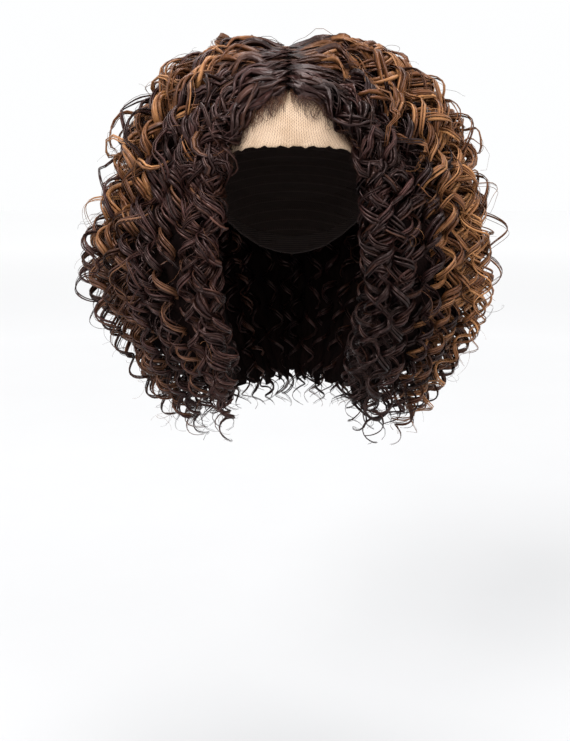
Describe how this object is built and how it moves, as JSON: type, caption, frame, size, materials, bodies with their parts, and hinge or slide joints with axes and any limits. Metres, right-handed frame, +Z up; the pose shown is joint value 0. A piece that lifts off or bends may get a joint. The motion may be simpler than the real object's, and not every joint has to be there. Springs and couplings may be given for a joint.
{
  "type": "lace front wig",
  "caption": "Curly bob wig with a small parting: ringlets on a sewn cap with a sheer lace front, ear tabs and a nape band.",
  "frame": {"origin": "centre of the head-size plane, the widest ring of the cap, where a head fills it", "axes": "+Z up, the face looks along -Y, +X is the viewer's right"},
  "size_m": [0.3298, 0.2608, 0.3167],
  "materials": {
    "lace": "sheer fine net",
    "cap_net": "matte stretch net",
    "elastic_band": "ribbed elastic",
    "dark_hair": "dark brown fibre, soft sheen",
    "curl_hair": "dark brown fibre with caramel highlights, soft sheen"
  },
  "bodies": {
    "root": {"lace_front": "lace", "crown_cap": "cap_net", "ear_tab_left": "elastic_band", "ear_tab_right": "elastic_band", "nape_band": "elastic_band", "weft_hair_front_left": "dark_hair", "weft_hair_side_left": "dark_hair", "weft_hair_back_left": "dark_hair", "weft_hair_front_right": "dark_hair", "weft_hair_side_right": "dark_hair", "weft_hair_back_right": "dark_hair", "curls_front_left": "curl_hair", "curls_side_left": "curl_hair", "curls_back_left": "curl_hair", "curls_front_right": "curl_hair", "curls_side_right": "curl_hair", "curls_back_right": "curl_hair"}
  },
  "joints": []
}
